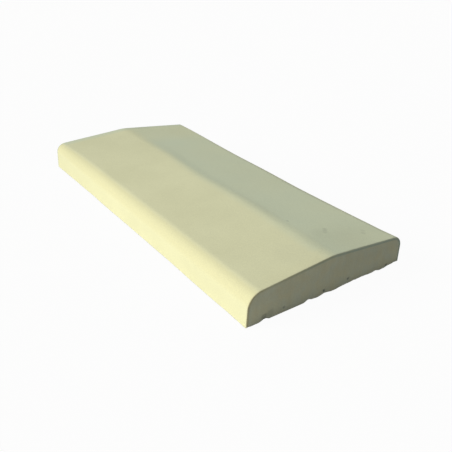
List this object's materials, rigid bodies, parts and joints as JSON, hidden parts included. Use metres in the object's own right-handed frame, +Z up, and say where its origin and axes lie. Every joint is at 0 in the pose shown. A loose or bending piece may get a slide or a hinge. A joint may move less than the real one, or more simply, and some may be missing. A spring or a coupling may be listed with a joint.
{
  "type": "wall coping",
  "caption": "Twice-weathered cast stone wall coping: a solid slab with two shallow slopes meeting in a soft ridge, rounded long edges, plain ends and a rough flat bed.",
  "frame": {"origin": "centre of the bed, the flat face that lies in mortar on the wall", "axes": "+X along the length of the wall, +Y across the wall, +Z up through the ridge"},
  "size_m": [0.6, 0.28, 0.0576],
  "materials": {
    "cast_stone": "smooth mould-cast cream cast stone, matt, with a rough as-poured bed"
  },
  "bodies": {
    "root": {"coping_stone": "cast_stone"}
  },
  "joints": []
}
